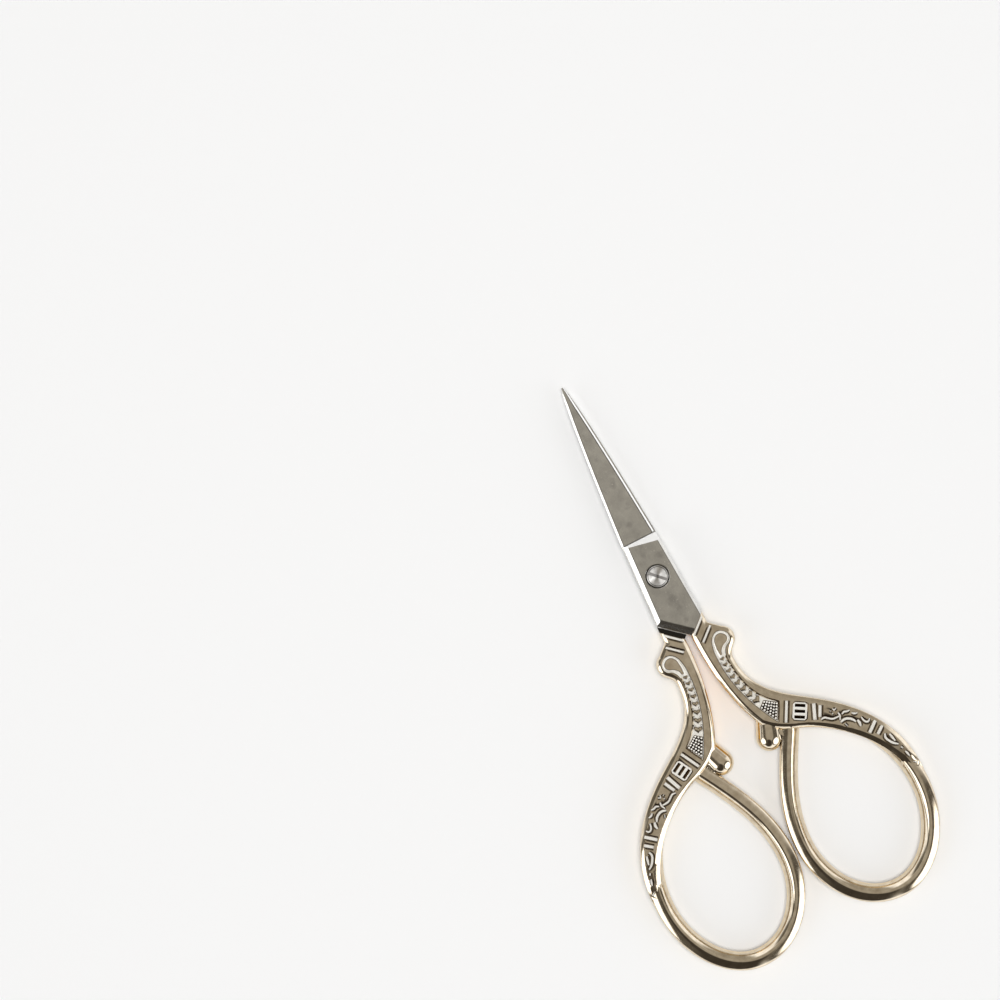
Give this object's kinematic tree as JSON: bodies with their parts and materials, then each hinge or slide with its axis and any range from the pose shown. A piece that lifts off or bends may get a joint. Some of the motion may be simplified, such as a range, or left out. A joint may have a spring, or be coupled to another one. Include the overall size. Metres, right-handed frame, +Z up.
{
  "type": "embroidery scissors",
  "caption": "Small pointed embroidery scissors with bare steel blades, ornamental gold-plated handles with finger bows, and a slotted pivot screw.",
  "frame": {"origin": "on the pivot axis, at the flat end of the pivot screw, flush with the underside that the closed pair lies on", "axes": "+Y from the pivot towards the tips, +X towards the upper half's handle, +Z up through the screw head"},
  "size_m": [0.0458, 0.0919, 0.0038],
  "materials": {
    "blade_steel": "bare stainless steel, finely ground and polished",
    "gold_plate": "pale gold plate over steel, polished, with struck ornament",
    "screw_steel": "turned bright steel"
  },
  "bodies": {
    "lower_half": {"lower_blade": "blade_steel", "lower_handle": "gold_plate", "pivot_screw": "screw_steel"},
    "upper_half": {"upper_blade": "blade_steel", "upper_handle": "gold_plate"}
  },
  "joints": [
    {"name": "pivot", "type": "hinge", "parent": "lower_half", "child": "upper_half", "pos_m": [0, 0, 0], "axis": [0, 0, 1], "range_deg": [0, 135]}
  ]
}
